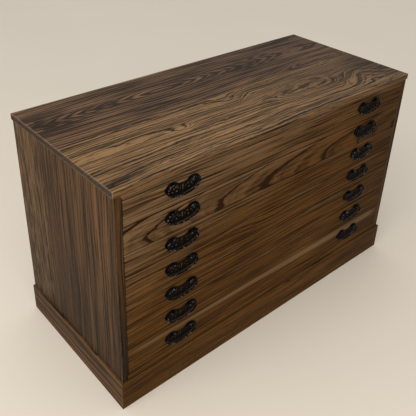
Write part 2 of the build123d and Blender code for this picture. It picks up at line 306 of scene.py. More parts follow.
def make_growth_rings():
    """Growth rings of a log, cut by the board. The board's vector is in millimetres: along the
    grain, across it, and out of its face. Where the pith's depth has a low, the rings close to an
    eye. A crest gathers its arrows into a narrow band along the pith line."""
    given, result = new_group(
        "Growth Rings", ("Late", "Early", "Band", "Streak"),
        Vector=ORIGIN, Seed=0.0, Across=0.0, Depth=50.0, Slope=0.1, Eye=0.0, Eye_Length=60.0, Spacing=6.0,
        Wander=10.0, Ripple=3.0, Crest=0.0, Crest_Width=1.0, Bold=0.0, Line=0.5, Swell=0.0,
    )
    seed, spacing, crest, eye_length = given["Seed"], given["Spacing"], given["Crest"], given["Eye Length"]
    along, across, out = split(given["Vector"])

    # The pith wanders sideways, and lies deeper away from the eye
    sway = (line_noise(along * 0.0035 + seed) - 0.5) * (given["Wander"] * 2.0)
    lengthwise = along - given["Eye"]
    reach = maths("SQRT", lengthwise * lengthwise + eye_length * eye_length) - eye_length
    depth = reach * given["Slope"] + given["Depth"] + out
    sideways = abs(out * 0.7 + (across - given["Across"] + sway))
    radius = maths("SQRT", depth * depth + sideways * sideways)

    # The arrows of a crest, which run straight outside it
    crested = smooth_step(crest, 0.0, 0.01)
    share_out = sideways / given["Crest Width"]
    arrow = (share_out * 0.8 + maths("POWER", share_out, 5.0) * 0.35) * spacing
    arrow = maths("MINIMUM", arrow, spacing * 5.6 + sideways * 0.5)
    slant = smooth_step(share_out, 1.1, 2.0, 1.0, 0.2) * crest
    radius = blend(crested, radius, slant * reach + arrow)

    # Ripples, large and small
    place = vector_maths("ADD", stretched(given["Vector"], (0.008, 0.03, 0.03)), joined(seed, 0.0, 0.0))
    small = noise(stretched(place, (4.5, 4.0, 4.0)), 1.0) - 0.5
    ripple = small * 0.42 + (noise(place, 1.0) - 0.5)
    radius = ripple * (given["Ripple"] * 2.0) + radius + given["Swell"]

    # Rings of uneven width. Each one's dark line ends at the same share of its width.
    line_end = 0.96
    count = line_noise(radius * 0.045 + seed) * 0.9 + radius / spacing
    phase = maths("FRACT", count)
    ring = maths("FLOOR", count) + seed
    tone = made("ShaderNodeTexWhiteNoise", {"W": ring}, noise_dimensions="1D")
    paling = smooth_step(line_noise(along * 0.006 + ring * 7.3), 0.28, 0.62, 0.60, 1.0)
    strength = blend(given["Bold"], (tone * 0.65 + 0.18) * paling, 0.9)
    beside = smooth_step(share_out, 1.1, 1.7) * crested
    beyond = smooth_step(lengthwise, 380.0, 460.0, 0.0, 0.6) * crested
    strength = strength * (1.0 - maths("MAXIMUM", beside * 0.55, beyond))
    rise = smooth_step(phase, line_end - given["Line"], line_end)
    fall = smooth_step(phase, line_end, 1.0, 1.0, 0.0)
    feed(result["Late"], rise * fall * strength)
    feed(result["Early"], smooth_step(phase, 0.05, 0.5, 1.0, 0.0))
    for label, long_scale, ring_scale, detail in (("Band", 0.003, 0.08, 3.0), ("Streak", 0.0035, 0.24, 2.0)):
        spread = joined(along * long_scale, radius * ring_scale, seed)
        feed(result[label], noise(spread, detail, 0.62))


def make_grain_swell():
    """A swelling of the rings at one place, such as beside a knot: it bends or closes their lines.
    A parting pushes them away to both sides, as round an eye."""
    given, result = new_group(
        "Grain Swell", ("Swell",),
        Vector=ORIGIN, Place=ORIGIN, Size=(50.0, 15.0, 30.0), Height=10.0, Parting=0.0,
    )
    offset = vector_maths("DIVIDE", vector_maths("SUBTRACT", given["Vector"], given["Place"]), given["Size"])
    bell = maths("EXPONENT", vector_maths("DOT_PRODUCT", offset, offset, output="Value") * -1.0)
    feed(result["Swell"], bell * (split(offset)[1] * given["Parting"] + given["Height"]))


def make_fibre():
    """What the wood shows apart from its rings: broad tones, fine fibres and pores."""
    given, result = new_group(
        "Wood Fibre", ("Tone", "Fibre", "Pores"),
        Vector=ORIGIN, Fineness=(0.005, 0.22, 0.22), Seed=0.0, Early=0.5,
    )
    vector = vector_maths("ADD", given["Vector"], joined(0.0, given["Seed"] * 37.0, 0.0))
    feed(result["Tone"], noise(stretched(vector, (0.004, 0.02, 0.02))))
    feed(result["Fibre"], noise(stretched(vector, given["Fineness"]), 2.0, 0.55))
    pores = smooth_step(noise(stretched(vector, (0.07, 1.1, 1.1)), 1.0), 0.58, 0.68)
    feed(result["Pores"], pores * (given["Early"] * 0.7 + 0.3))


def make_edge_wear():
    """A rubbed strip along the edges of a board, and a dark seam line beside them, from the board's two
    corners and the place in the frame.
    The seam line is partly dirt and partly painted shade in the gaps between parts. The nearest edge is as
    far as the second nearest face."""
    given, result = new_group(
        "Edge Wear", ("Wear", "Seam"), Vector=ORIGIN, Low=ORIGIN, High=(1.0, 1.0, 1.0), Width=0.002
    )
    from_low = vector_maths("SUBTRACT", given["Vector"], given["Low"])
    from_high = vector_maths("SUBTRACT", given["High"], given["Vector"])
    x, y, z = split(vector_maths("MINIMUM", from_low, from_high))
    distance = maths("MAXIMUM", maths("MINIMUM", x, y), maths("MINIMUM", maths("MAXIMUM", x, y), z))
    patches = noise(scaled(given["Vector"], 60.0), 3.0, 0.6)
    width = maths("MAXIMUM", given["Width"] * (patches * 2.4 - 0.3), 0.1 * MM)
    feed(result["Wear"], smooth_step(distance / width, 0.3, 1.0, 1.0, 0.0))
    feed(result["Seam"], smooth_step(distance, 0.8 * MM, 2.0 * MM, 1.0, 0.0))


def make_stained_wood():
    """Colour, roughness and relief of a stained and wiped board from its grain masks."""
    given, result = new_group(
        "Stained Wood", ("Color", "Roughness", "Height"),
        Pale=(0.2, 0.1, 0.05, 1.0), Dark=(0.05, 0.02, 0.01, 1.0), Pore_Stain=(0.02, 0.01, 0.01, 1.0),
        End_Grain=(0.04, 0.03, 0.02, 1.0), Worn_Wood=(0.3, 0.2, 0.1, 1.0), Late=0.0, Band=0.5, Streak=0.5,
        Tone=0.5, Fibre=0.5, Pores=0.0, End=0.0, Wear=0.0, Light=0.0, Contrast=1.0, Roughness=0.4,
    )
    dark = given["Late"] * 1.1
    for label, reach, strength in (("Band", 0.16, 0.14), ("Streak", 0.12, 0.22), ("Fibre", 0.12, 0.24)):
        dark = dark + smooth_step(given[label], 0.5 - reach, 0.5 + reach, -strength, strength)
    dark = maths("MULTIPLY_ADD", dark, given["Contrast"], 0.32, clamp=True)
    shade = mixed(dark, given["Pale"], given["Dark"])
    shade = scaled(shade, (given["Tone"] * 0.7 + 0.65) * (given["Light"] + 1.0))
    shade = mixed(given["Pores"] * 0.6, shade, given["Pore Stain"])
    shade = mixed(given["End"] * 0.85, shade, given["End Grain"])
    shade = mixed(maths("MULTIPLY", given["Wear"], 0.30, clamp=True), shade, given["Worn Wood"])
    feed(result["Color"], shade)
    rough = given["Roughness"] + given["Pores"] * 0.22 + given["Fibre"] * 0.12 - 0.05
    feed(result["Roughness"], maths("MULTIPLY_ADD", given["End"], 0.2, rough, clamp=True))
    feed(result["Height"], given["Late"] * 0.35 + given["Fibre"] * 0.35 - given["Pores"] * 0.6)


# Boards: how each one lies in the frame, as rows that give along, across and out of its face
LIES_FLAT = ((1, 0, 0), (0, 1, 0), (0, 0, 1))
FACES_FRONT = ((1, 0, 0), (0, 0, 1), (0, -1, 0))
STANDS_UP = ((0, 0, 1), (0, 1, 0), (-1, 0, 0))
RUNS_BACK = ((0, 1, 0), (0, 0, 1), (1, 0, 0))

TOP_SEAM = 1.5  # where the top's two planks meet, in millimetres behind the middle
SWELL_DEPTH = 60.0  # how far into the wood a swell reaches, in millimetres
BARE_ROUGHNESS = 0.62


def board_vector(place, lie, face):
    """The place in a board's own directions, in millimetres, with its face at zero."""
    sources = {"Vector": place, "Location": (0, 0, -face / MM), "Rotation": Matrix(lie).to_euler()}
    return made("ShaderNodeMapping", {**sources, "Scale": (1 / MM, 1 / MM, 1 / MM)})


def bells(vector, spots):
    """The sum of some swells: each one's place along and across, its two sizes, height and parting."""
    total = 0.0
    for along, across, long_size, wide_size, height, *parting in spots:
        place, size = (along, across, 0.0), (long_size, wide_size, SWELL_DEPTH)
        bell = use_group(
            "Grain Swell", Vector=vector, Place=place, Size=size, Height=height, Parting=sum(parting)
        )
        total = bell["Swell"] + total
    return total


def plank_masks(vector, figure):
    """The ring masks of one plank, and its shade, which makes places lighter or darker."""
    swell = bells(vector, figure["swells"])
    masks = use_group("Growth Rings", Vector=vector, Swell=swell, **figure["rings"])
    return [*masks.values(), bells(vector, figure["shades"]) + figure["light"]]


def facing_mask(place, direction, both_ways=False):
    """How far the surface faces in a direction: a board's ends along its grain, or its front edge."""
    normal = Signal(place.socket.node.outputs["Normal"])
    facing = vector_maths("DOT_PRODUCT", normal, direction, output="Value")
    return smooth_step(abs(facing) if both_ways else facing, 0.6, 0.9)


def board_material(name, node, lie, pale, dark, figure, wood, second=None, light=None, bare=False):
    """The material of one board. A second figure, past the top's seam, makes it two planks."""
    low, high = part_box(node)
    face = Matrix(lie)[2]
    face_out = max(face.dot(low), face.dot(high))
    material, shader, place = new_material(name)
    vector = board_vector(place, lie, face_out)
    pale, dark = opaque(pale), opaque(dark)
    contrast, fineness = figure["contrast"], figure["fineness"]
    masks = plank_masks(vector, figure)
    if second is not None:
        along, across, _ = split(vector)
        past = smooth_step(across, TOP_SEAM - 0.3, TOP_SEAM + 0.3)
        masks = [blend(past, *pair) for pair in zip(masks, plank_masks(vector, second))]
        pale = mixed(past, pale, opaque(wood.back_pale))
        dark = mixed(past, dark, opaque(wood.back_dark))
        contrast = blend(past, contrast, second["contrast"])
        fineness = mixed(past, opaque(fineness), opaque(second["fineness"]))
        darkness = smooth_step(along, 0.0, 140.0, 0.7, 0.2)
        joint = smooth_step(abs(across - TOP_SEAM), 0.4, 1.6, darkness, 0.0)
        masks[0] = maths("ADD", joint, masks[0], clamp=True)
    late, early, band, streak, shade = masks
    if not bare and lie is not FACES_FRONT:
        edge = facing_mask(place, (0, -1, 0)) * figure["front"]
        pale = mixed(edge, pale, opaque(wood.front_pale))
        dark = mixed(edge, dark, opaque(wood.front_dark))
    # Painted light: the fronts' pale wood is lightened towards the case's upper left corner
    if lie is FACES_FRONT and face_out > 0:
        pale = mixed(painted_light_upper_left(vector), pale, opaque(wood.worn))
    fibre = use_group("Wood Fibre", Vector=vector, Fineness=fineness, Seed=figure["seed"], Early=early)
    worn = 0.0
    if not bare:
        width = wood.edge_wear * figure["edge"]
        edges = use_group("Edge Wear", Vector=place, Low=low, High=high, Width=width)
        worn = edges["Wear"] * figure["wear"]
        if light is not None:
            worn = worn + light(vector)
        # The seam line darkens the edges: partly dirt, partly painted shade in the gaps between the drawers
        late = edges["Seam"] * figure["seam"] + late
    stain = use_group(
        "Stained Wood",
        Pale=pale, Dark=dark, Worn_Wood=opaque(wood.worn),
        Pore_Stain=dark if bare else opaque(wood.pore),
        End_Grain=pale if bare else opaque(wood.end),
        Late=late, Band=band, Streak=streak, **fibre,
        End=facing_mask(place, lie[0], both_ways=True),
        Wear=worn, Light=shade, Contrast=contrast,
        Roughness=BARE_ROUGHNESS if bare else wood.roughness,
    )
    feed(shader["Base Color"], stain["Color"])
    feed(shader["Roughness"], stain["Roughness"])
    feed(shader["Specular IOR Level"], figure["gloss"])
    add_bump(shader, stain["Height"], strength=0.35, distance=0.3 * MM)
    return material


def finish_node(node, material):
    """Gives a board of the frame its material."""
    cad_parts[node].data.materials.clear()
    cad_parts[node].data.materials.append(material)


def figure(seed, across, depth, slope, eye, eye_length, spacing, wander, ripple, **more):
    """The figure of one plank: where its pith runs and how the rings meet its face, in millimetres."""
    rings = dict(Seed=seed, Across=across, Depth=depth, Slope=slope, Eye=eye, Eye_Length=eye_length)
    rings.update(Spacing=spacing, Wander=wander, Ripple=ripple, Bold=more.get("bold", 0.0))
    rings["Line"] = more.get("line", 0.5)
    rings["Crest"], rings["Crest_Width"] = more.get("crest", (0.0, 1.0))
    usual = dict(
        swells=(), shades=(), light=0.0, contrast=1.0, gloss=0.07, wear=0.6, seam=0.0,
        fineness=(0.005, 0.22, 0.22), edge=1.0, front=1.0,
    )
    return {**usual, **more, "rings": rings, "seed": seed}


# The top is two planks. The back one shows nested arrows that close to a long eye, the
# front one shows hooks, a burl and wavy lines.
TOP_FRONT = figure(
    3.3, -400, 60, 0.02, 120, 60, 9, 16, 8,
    swells=(
        (-233, -91, 28, 17, 22), (-400, -75, 110, 22, 0, -24), (-30, -45, 45, 26, 30),
        (190, -92, 130, 40, 5, -62), (400, -118, 72, 50, -52), (318, -95, 24, 13, -16),
        (318, -140, 24, 13, -16),
    ),
    shades=(
        (-200, -130, 300, 60, 0.12), (-370, -97, 60, 9, -0.40), (-120, -60, 160, 9, -0.28),
        (-420, -170, 110, 40, -0.14), (120, -88, 26, 8, -0.30), (310, -115, 10, 45, -0.20),
        (330, -70, 300, 120, -0.30), (490, -90, 70, 200, -0.30),
    # The two shades on the next line are painted shade: the front plank darker towards its right end
    ),
    bold=0.35, line=0.40, light=-0.09, contrast=1.4, front=0.5, wear=1.4, edge=1.8,
)
TOP_BACK = figure(
    8.1, 121, 0, 0, -127, 90, 4.8, 4, 1.2,
    crest=(0.120, 17),
    swells=((370, 12, 95, 20, 0, 42),),
    shades=(
        (-425, 60, 85, 17, -0.50), (-455, 121, 50, 24, -0.35), (370, 24, 80, 7, -0.2),
        (300, 130, 260, 110, -0.30), (-480, 190, 130, 60, 0.10), (-230, 121, 260, 16, 0.34),
        (-200, 190, 300, 20, -0.16), (0, 60, 300, 30, -0.12),
    ),
    bold=1.0, line=0.66, light=0.03, contrast=1.9, fineness=(0.004, 0.2, 0.2),
)

# Painted shade: the wood of the drawers and the plinth is a little darker towards the right end, away from
# the light on the left
RIGHT_END_SHADE = (480, 350, 140, 700, -0.30)

# Both sides show fine upright bands. The left one has a knot near its back edge, and swells round it.
SIDE_LOOK = dict(line=0.34, light=-0.06, front=0.5, contrast=1.6, fineness=(0.003, 0.13, 0.13))
SIDE_LEFT = figure(
    11, -400, 60, 0.02, 300, 50, 9.5, 6, 3,
    swells=((227, 151, 24, 14, 9), (380, 135, 90, 34, 0, 22), (120, 150, 50, 20, 6)),
    shades=(
        (227, 151, 20, 13, -0.45), (420, 158, 190, 16, 0.24), (380, 104, 130, 11, 0.30),
        (128, 152, 44, 14, 0.30), (290, 160, 34, 26, -0.22), (330, 197, 400, 10, -0.30),
        (330, 40, 400, 11, -0.18), (360, -22, 500, 15, -0.30), (300, -62, 420, 16, 0.12),
        (300, -93, 260, 4, 0.25), (340, -144, 360, 5, 0.38), (300, -176, 300, 4, 0.25),
        # The last shade on the next line is painted shade: the side darker towards the bottom
        (300, -118, 420, 10, -0.18), (300, -204, 420, 14, -0.24), (30, 20, 300, 420, -0.48),
        (300, -217, 500, 12, -0.14),
    ),
    **SIDE_LOOK,
)
SIDE_RIGHT = figure(
    12, -340, 60, 0.02, 420, 60, 9.5, 8, 4,
    swells=((300, -40, 110, 36, 0, 30),),
    shades=(
        (360, 120, 400, 20, 0.22), (300, 60, 420, 14, -0.22), (300, -140, 420, 26, -0.20),
        # The last shade on the next line is painted shade: the side darker along its front edge
        (340, -90, 360, 6, 0.26), (300, -217, 600, 20, -0.50),
    ),
    **SIDE_LOOK,
)
PLINTH_FRONT = figure(
    21, 300, 60, 0.02, -150, 160, 5, 14, 6,
    shades=((-90, 64, 150, 14, 0.40), (-430, 45, 120, 34, -0.15), RIGHT_END_SHADE),
    line=0.36, gloss=0.04, contrast=1.15, fineness=(0.004, 0.20, 0.20),
)
PLINTH_END_LOOK = dict(contrast=2.0, line=0.4, fineness=(0.004, 0.12, 0.12))


def drawer_figure(*places, **more):
    """The figure of a drawer front, whose edges aren't rubbed."""
    # A front's seam line is partly dirt and partly painted shade in the gaps between the drawers
    usual = dict(line=0.34, contrast=1.3, wear=0.0, gloss=0.03, seam=0.3, shades=(RIGHT_END_SHADE,))
    return figure(*places, **{**usual, **more})


# The second drawer shows broad soft strokes that rise to the right
DRAWER_FIGURES = (
    drawer_figure(1, 740, 60, 0.02, 0, 200, 8, 8, 2),
    drawer_figure(2, 462, 22, 0.085, 900, 60, -15, 4, 2.5, bold=1.0, line=0.17, contrast=1.25),
    drawer_figure(3, 640, 60, 0.03, 200, 200, 9, 8, 3),
    drawer_figure(4, 190, 60, 0.02, 10, 160, 9, 9, 2.5, swells=((-10, 345, 150, 24, 14),)),
    drawer_figure(5, 70, 60, 0.02, 0, 200, 9.5, 6, 2),
    drawer_figure(6, 20, 60, 0.02, 0, 200, 9, 6, 2),
    drawer_figure(7, -90, 60, 0.02, 0, 200, 9, 5, 2),
)


def pale_streak(vector):
    """The lighter streak along the upper edge of the lowest drawer, wider towards the right."""
    left, right, narrow, wide, strength = -480.0, 330.0, 8.0, 21.0, 1.2
    along, across, _ = split(vector)
    top_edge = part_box("drawer_7_front")[1].z / MM
    lower = smooth_step(along, left, right, top_edge - narrow, top_edge - wide)
    inside = smooth_step(across - lower, -1.5, 2.5)
    return inside * smooth_step(abs(along), 430.0, -left, 1.0, 0.25) * strength


def painted_light_upper_left(vector):
    """Painted light on the fronts' pale wood, strongest in the case's upper left corner, where the light
    comes from the left.
    """
    left_end, top, light_reach_right, light_reach_down = -500.0, 614.0, 900.0, 310.0
    along, across, _ = split(vector)
    distance = (top - across) / light_reach_down + (along - left_end) / light_reach_right
    return smooth_step(distance, 0.3, 1.3, 0.46, 0.0)


def thin_streaks(node):
    """Faint thin streaks along the top edge of a drawer front."""
    top_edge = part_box(node)[1].z / MM

    def streaks(vector):
        thin = smooth_step(top_edge - split(vector)[1], 3.0, 7.0, 0.8, 0.0)
        return thin * smooth_step(noise(stretched(vector, (0.006, 0.09, 0.09))), 0.42, 0.62)

    return streaks


def pale_flecks(vector):
    """Rubbed flecks on a side, thick towards the back and few in front."""
    few, many = 40.0, 150.0
    across = split(vector)[1]
    cells = noise(stretched(vector, (0.016, 0.14, 0.14)), 2.0, 0.6)
    flecks = smooth_step(cells - smooth_step(across, few, many, 0.60, 0.47), 0.0, 0.11)
    return flecks * smooth_step(across, few, many, 0.35, 1.0)


def finish_boards(boards, wood, pale, dark, light=None):
    """Gives each board a material of its own. A board is a node, how it lies and its figure."""
    for node, lie, lines in boards:
        finish_node(node, board_material(f"{node}_wood", node, lie, pale, dark, lines, wood, light=light))


class CHEST_OT_case(bpy.types.Operator):
    """Finish the case: top, sides, rail, bottom and back"""

    bl_idname = "chest.case"
    bl_label = "Finish the Case"

    def execute(self, context):
        wood = context.scene.chest_wood
        top = ("top_planks", "top_board", LIES_FLAT, wood.top_pale, wood.top_dark, TOP_FRONT, wood, TOP_BACK)
        finish_node("top_board", board_material(*top))
        sides = (("side_left", STANDS_UP, SIDE_LEFT), ("side_right", STANDS_UP, SIDE_RIGHT))
        finish_boards(sides, wood, wood.side_pale, wood.side_dark, pale_flecks)
        plain = (
            ("top_rail", FACES_FRONT, figure(13, 900, 60, 0.02, 0, 200, 5, 6, 2)),
            ("bottom_board", LIES_FLAT, figure(14, 500, 60, 0.02, 0, 200, 6, 9, 3)),
            ("back_panel", FACES_FRONT, figure(15, 330, 90, 0.08, 100, 90, 9, 25, 6)),
        )
        finish_boards(plain, wood, wood.front_pale, wood.front_dark)
        return {"FINISHED"}


class CHEST_OT_plinth(bpy.types.Operator):
    """Finish the four boards of the plinth"""

    bl_idname = "chest.plinth"
    bl_label = "Finish the Plinth"

    def execute(self, context):
        wood = context.scene.chest_wood
        long_boards = (
            ("plinth_front", FACES_FRONT, PLINTH_FRONT),
            ("plinth_back", FACES_FRONT, figure(22, 160, 70, 0.04, 100, 120, 7, 12, 4)),
        )
        ends = (
            ("plinth_left", RUNS_BACK, figure(23, 130, 60, 0.03, 60, 120, 8, 10, 3, **PLINTH_END_LOOK)),
            ("plinth_right", RUNS_BACK, figure(24, -60, 60, 0.03, 0, 120, 8, 10, 3, **PLINTH_END_LOOK)),
        )
        finish_boards(long_boards, wood, wood.front_pale, wood.front_dark)
        finish_boards(ends, wood, wood.side_pale, wood.side_dark)
        return {"FINISHED"}


class CHEST_OT_drawer_fronts(bpy.types.Operator):
    """Finish the seven drawer fronts, each with its own figure"""

    bl_idname = "chest.drawer_fronts"
    bl_label = "Finish the Drawer Fronts"

    def execute(self, context):
        wood = context.scene.chest_wood
        for drawer, lines in zip(DRAWERS, DRAWER_FIGURES):
            node = f"{drawer}_front"
            light = pale_streak if drawer == DRAWERS[-1] else thin_streaks(node)
            finish_boards(((node, FACES_FRONT, lines),), wood, wood.front_pale, wood.front_dark, light)
        return {"FINISHED"}


class CHEST_OT_inner_boards(bpy.types.Operator):
    """Finish the bare inner boards: the trays and the runners"""

    bl_idname = "chest.inner_boards"
    bl_label = "Finish the Inner Boards"

    def execute(self, context):
        wood = context.scene.chest_wood
        colours = wood.inner_pale, wood.inner_dark
        bare = (
            ("sides", RUNS_BACK, figure(31, 900, 60, 0.02, 0, 120, 4, 10, 2)),
            ("back", FACES_FRONT, figure(32, 900, 60, 0.02, 0, 120, 4, 10, 2)),
            ("bottom", LIES_FLAT, figure(33, 40, 60, 0.07, 0, 120, 6, 20, 4)),
        )
        for part, lie, lines in bare:
            first = f"{DRAWERS[0]}_{part}"
            material = board_material(f"tray_{part}_wood", first, lie, *colours, lines, wood, bare=True)
            for drawer in DRAWERS:
                finish_node(f"{drawer}_{part}", material)
        node, lines = "drawer_runners", figure(34, 900, 60, 0.02, 0, 120, 4, 10, 2)
        material = board_material("runner_wood", node, RUNS_BACK, *colours, lines, wood, bare=True)
        finish_node(node, material)
        return {"FINISHED"}


# Pulls, drawn flat: X to the right, Y up, Z out of the drawer's face

# Points nearer than this are one, and a face looks along an axis when its normal's share is over this
TOUCH, FACING = 0.01 * MM, 0.9

# Up to these angles an edge is shaded smooth
PLATE_SMOOTH, POST_SMOOTH, BAIL_SMOOTH = math.radians(35), math.radians(40), math.radians(50)


def deselect_all():
    if bpy.context.mode != "OBJECT":
        bpy.ops.object.mode_set(mode="OBJECT")
    bpy.ops.object.select_all(action="DESELECT")


def take(piece):
    """Makes a piece the only selected one."""
    deselect_all()
    piece.select_set(True)
    bpy.context.view_layer.objects.active = piece


def draw_loop(cuts, first):
    """Adds a closed curve with four points, or more after cuts, to be put in place by shape_loops."""
    if first:
        bpy.ops.curve.primitive_bezier_circle_add(radius=10 * MM, enter_editmode=True)
    else:
        bpy.ops.curve.select_all(action="DESELECT")
        bpy.ops.curve.primitive_bezier_circle_add(radius=10 * MM)
    if cuts:
        bpy.ops.curve.subdivide(number_cuts=cuts)


def shape_loops(curve, loops):
    """Puts the points of each closed curve in place. A point's third value marks a sharp corner."""
    for spline, points in zip(curve.splines, loops):
        for knot, (x, y, *sharp) in zip(spline.bezier_points, points):
            knot.co = (x, y, 0)
            knot.handle_left_type = knot.handle_right_type = "VECTOR" if sharp else "AUTO"


def weld(piece):
    """Turns a curve into a mesh, joins its doubled points and turns its faces outwards."""
    take(piece)
    bpy.ops.object.convert(target="MESH")
    bpy.ops.object.mode_set(mode="EDIT")
    bpy.ops.mesh.select_all(action="SELECT")
    bpy.ops.mesh.remove_doubles(threshold=TOUCH)
    bpy.ops.mesh.normals_make_consistent(inside=False)


def plate_outline(sizes):
    """Sixteen points round the crescent: two lobes above a long belly."""
    w, top, dip, belly = sizes.plate_half, sizes.lobe_top, sizes.dip, sizes.belly
    right = [
        (0.0, dip),
        (0.20 * w, 1.08 * dip),
        (0.40 * w, 0.86 * top),
        (0.66 * w, top),
        (0.90 * w, 0.66 * top),
        (w, 0.10 * top),
        (0.90 * w, -0.34 * belly),
        (0.52 * w, -0.84 * belly),
        (0.0, -belly),
    ]
    left = [(-x, y) for x, y in reversed(right[1:-1])]
    return right + left


# Piercings of the right half, as shares of half the plate's width, both across and up:
# four points each, the last one the sharp tail
PIERCINGS = (
    ((0.13, 0.02), (0.21, -0.02), (0.18, -0.11), (0.09, -0.20, 1)),
    ((0.27, 0.12), (0.35, 0.08), (0.33, -0.02), (0.22, -0.09, 1)),
    ((0.30, -0.12), (0.38, -0.10), (0.42, -0.20), (0.27, -0.26, 1)),
    ((0.46, 0.04), (0.54, 0.06), (0.57, -0.04), (0.43, -0.12, 1)),
    ((0.55, -0.13), (0.63, -0.09), (0.66, -0.16), (0.52, -0.23, 1)),
    ((0.66, 0.10), (0.74, 0.12), (0.76, 0.02), (0.64, -0.04, 1)),
    ((0.78, -0.02), (0.84, 0.04), (0.86, -0.06), (0.74, -0.14, 1)),
    ((0.72, 0.26), (0.80, 0.20), (0.78, 0.14), (0.66, 0.20, 1)),
)
MIDDLE_PIERCING = ((0.0, 0.10), (0.045, -0.04), (0.0, -0.28, 1), (-0.045, -0.04))

# The share of their size that the paired piercings are cut to, for stouter bars between them
CUT_SHARE = 0.70

# A circle's four arcs, each cut this often, give the outline its sixteen points
OUTLINE_CUTS = 3


def shrunk(piercing, size):
    """A piercing's points, drawn in towards its middle and brought to a size."""
    middle = [sum(point[axis] for point in piercing) / len(piercing) for axis in (0, 1)]
    places = [[m + (p - m) * CUT_SHARE for m, p in zip(middle, point)] for point in piercing]
    return [(x * size, y * size, *point[2:]) for (x, y), point in zip(places, piercing)]


def make_plate(sizes):
    """A pierced crescent plate, cut from sheet iron with softened edges."""
    w = sizes.plate_half
    loops = [plate_outline(sizes), [(p[0] * w, p[1] * w, *p[2:]) for p in MIDDLE_PIERCING]]
    for piercing in PIERCINGS:
        points = shrunk(piercing, w)
        loops += [points, [(-x, y, *sharp) for x, y, *sharp in points]]
    deselect_all()
    for number in range(len(loops)):
        draw_loop(0 if number else OUTLINE_CUTS, first=number == 0)
    bpy.ops.object.mode_set(mode="OBJECT")
    plate = bpy.context.object
    plate.data.dimensions = "2D"
    plate.data.fill_mode = "BOTH"
    plate.data.resolution_u = 4
    shape_loops(plate.data, loops)
    edge = 0.25 * MM
    plate.data.bevel_depth = edge
    plate.data.bevel_resolution = 1
    plate.data.extrude = sizes.plate / 2 - edge
    plate.data.offset = -edge
    weld(plate)
    bpy.ops.transform.translate(value=(0, 0, sizes.plate / 2))
    bpy.ops.object.mode_set(mode="OBJECT")
    return plate


def raise_top(steps):
    """Extrudes the selected end face through steps of (height, radius), as turned on a lathe."""
    height, radius = steps[0]
    for next_height, next_radius in steps[1:]:
        bpy.ops.mesh.extrude_region_move(TRANSFORM_OT_translate={"value": (0, 0, next_height - height)})
        bpy.ops.transform.resize(value=(next_radius / radius, next_radius / radius, 1))
        height, radius = next_height, next_radius


def select_end(piece, height):
    """Selects the face at one height of a piece in edit mode."""
    bpy.ops.mesh.select_all(action="DESELECT")
    bpy.ops.object.mode_set(mode="OBJECT")
    for face in piece.data.polygons:
        face.select = abs(face.center.z - height) < TOUCH and abs(face.normal.z) > FACING
    bpy.ops.object.mode_set(mode="EDIT")
    bpy.ops.mesh.select_mode(type="FACE")


def make_post(sizes):
    """A post: a collar, a swelling neck with the eye, and a domed head."""
    radius, out = sizes.post_radius, sizes.post_out
    base, collar, thick, play = sizes.plate, 1.12 * radius, 1.1 * MM, 0.3 * MM
    deselect_all()
    bpy.ops.mesh.primitive_cylinder_add(
        vertices=24, radius=collar, depth=thick, location=(0, 0, base + thick / 2), end_fill_type="NGON"
    )
    post = bpy.context.object
    take(post)
    bpy.ops.object.transform_apply(location=True)
    bpy.ops.object.mode_set(mode="EDIT")
    top = base + thick
    select_end(post, top)
    steps = [
        (top, collar),
        (top + 0.3 * MM, 0.94 * collar),
        (top + 0.5 * MM, 0.86 * radius),
        (sizes.axis_out - 1.6 * MM, 0.96 * radius),
        (sizes.axis_out, radius),
        (sizes.axis_out + 2.4 * MM, 0.96 * radius),
        (out - 1.3 * MM, 0.80 * radius),
        (out - 0.45 * MM, 0.52 * radius),
        (out, 0.18 * radius),
    ]
    raise_top(steps)
    bpy.ops.object.mode_set(mode="OBJECT")
    bpy.ops.mesh.primitive_cylinder_add(
        vertices=16, radius=sizes.bar_radius + play, depth=4 * radius, location=(0, 0, sizes.axis_out),
        rotation=(0, math.pi / 2, 0),
    )
    drill = bpy.context.object
    cut = post.modifiers.new("Eye", "BOOLEAN")
    cut.operation = "DIFFERENCE"
    cut.object = drill
    take(post)
    bpy.ops.object.modifier_apply(modifier=cut.name)
    bpy.data.objects.remove(drill)
    return post


def pull_places():
    """The middle of each pull, from the box of its bail, whose bar has eight sides there."""
    places = {}
    sizes = bpy.context.scene.chest_pulls
    rise = sizes.post_rise + sizes.bar_radius / math.cos(math.pi / 8)
    for drawer in DRAWERS:
        for hand in HANDS:
            low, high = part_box(f"{drawer}_{hand}_bail")
            middle_x = (low.x + high.x) / 2
            places[drawer, hand] = Vector((middle_x, FRONT_Y, high.z - rise))
    return places


def set_in_place(model, name, place, offset=(0.0, 0.0)):
    """A copy of a flat model, stood up on a drawer's face with its place in its mesh."""
    piece = model.copy()
    piece.data = model.data.copy()
    piece.name = name
    piece.data.name = name
    bpy.context.scene.collection.objects.link(piece)
    piece.rotation_euler = (math.pi / 2, 0, 0)
    piece.location = place + Vector((offset[0], 0, offset[1]))
    take(piece)
    bpy.ops.object.transform_apply(location=True, rotation=True, scale=True)
    return piece


def make_iron(iron):
    """Black lacquered iron, hammered and rubbed bright in places."""
    material, shader, place = new_material("black_iron")
    out = FRONT_Y - split(place)[1]
    patches = noise(scaled(place, 210.0))
    rub = smooth_step(patches, 0.53, 0.68) * smooth_step(out, 2.0 * MM, 9.0 * MM)
    feed(shader["Base Color"], mixed(rub, opaque(iron.black), opaque(iron.rubbed)))
    feed(shader["Metallic"], rub * 0.8)
    feed(shader["Roughness"], patches * 0.3 + (iron.roughness - 0.12))
    feed(shader["Specular IOR Level"], 0.04)
    dents = made("ShaderNodeTexVoronoi", {"Vector": place, "Scale": 420.0}, "Distance", feature="SMOOTH_F1")
    add_bump(shader, dents + patches * 0.5, strength=0.30, distance=0.20 * MM)
    return material


def iron_material():
    return bpy.data.materials.get("black_iron") or make_iron(bpy.context.scene.chest_iron)


